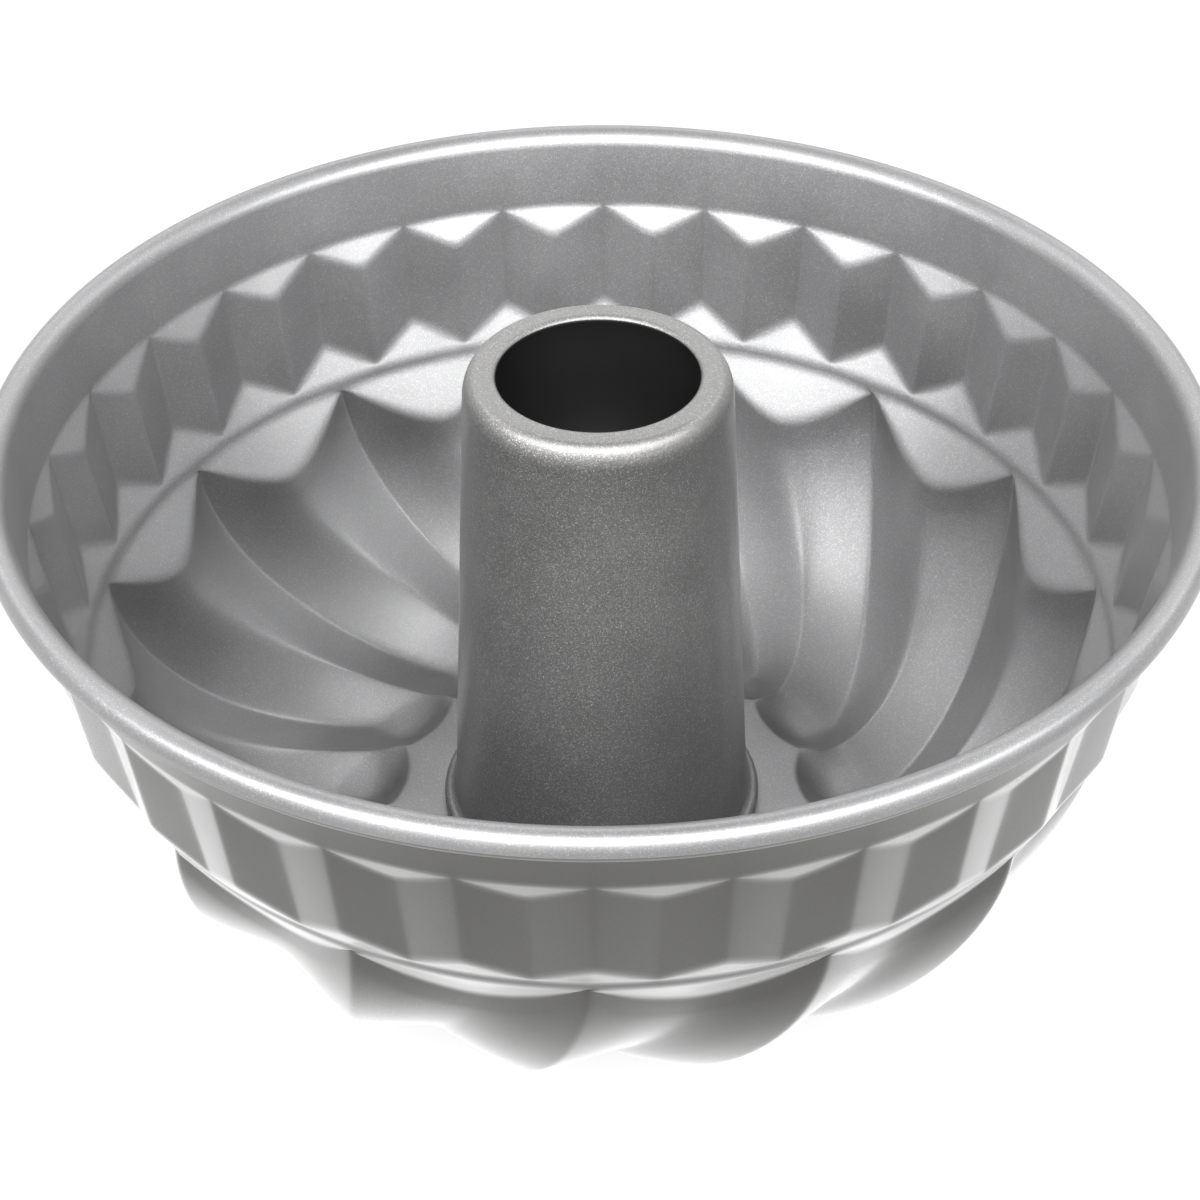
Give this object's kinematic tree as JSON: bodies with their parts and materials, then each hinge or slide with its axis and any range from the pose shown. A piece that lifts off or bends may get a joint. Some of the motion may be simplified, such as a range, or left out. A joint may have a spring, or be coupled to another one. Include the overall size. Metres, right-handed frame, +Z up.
{
  "type": "fluted tube pan",
  "caption": "Round baking pan of coated sheet steel with a rolled rim, a pleated band, swirling flutes in the bowl and a tapered open tube in the middle.",
  "frame": {"origin": "centre of the pan on the surface that the bottoms of its flutes stand on", "axes": "+Z up along the axis of the tube, -Y towards the viewer of the picture, +X to the viewer's right"},
  "size_m": [0.22, 0.22, 0.1065],
  "materials": {
    "shell_coating": "satin metallic grey non-stick coating with fine sparkle on sheet steel",
    "tube_coating": "satin metallic grey non-stick coating with fine sparkle on sheet steel"
  },
  "bodies": {
    "root": {"fluted_shell": "shell_coating", "centre_tube": "tube_coating"}
  },
  "joints": []
}
